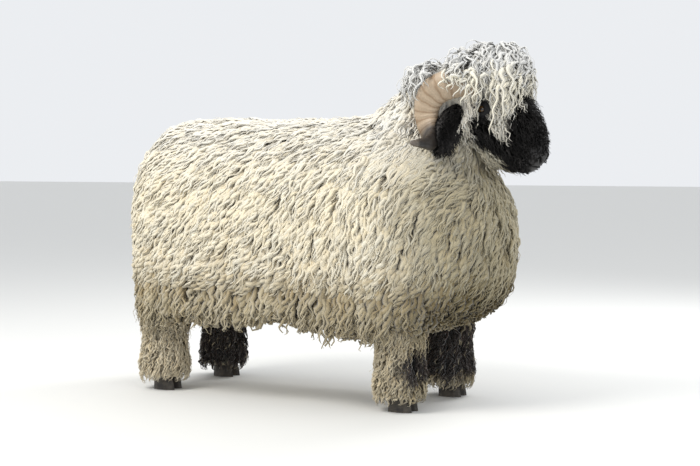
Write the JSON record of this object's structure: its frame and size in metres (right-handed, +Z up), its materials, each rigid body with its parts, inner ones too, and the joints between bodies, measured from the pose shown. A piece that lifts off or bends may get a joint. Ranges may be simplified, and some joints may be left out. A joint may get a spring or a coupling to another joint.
{
  "type": "valais blacknose sheep",
  "caption": "Life-size model of a horned Valais Blacknose ram standing in full curly fleece, black face, ears and knees.",
  "frame": {"origin": "on the ground, under the middle of the whole ram", "axes": "+X the way the ram faces, +Y to its left side, +Z up"},
  "size_m": [1.3572, 0.6233, 1.0495],
  "materials": {
    "fleece": "matte",
    "black_wool": "matte",
    "horn": "satin",
    "hoof": "satin",
    "eye": "gloss"
  },
  "bodies": {
    "root": {"torso": "fleece", "neck": "fleece", "head": "black_wool", "forelock": "fleece", "tail": "fleece", "leg_front_left": "fleece", "leg_front_right": "fleece", "leg_hind_left": "fleece", "leg_hind_right": "fleece", "claw_front_left_outer": "hoof", "claw_front_left_inner": "hoof", "claw_front_right_outer": "hoof", "claw_front_right_inner": "hoof", "claw_hind_left_outer": "hoof", "claw_hind_left_inner": "hoof", "claw_hind_right_outer": "hoof", "claw_hind_right_inner": "hoof", "horn_left": "horn", "horn_right": "horn", "ear_left": "black_wool", "ear_right": "black_wool", "eye_left": "eye", "eye_right": "eye"}
  },
  "joints": []
}
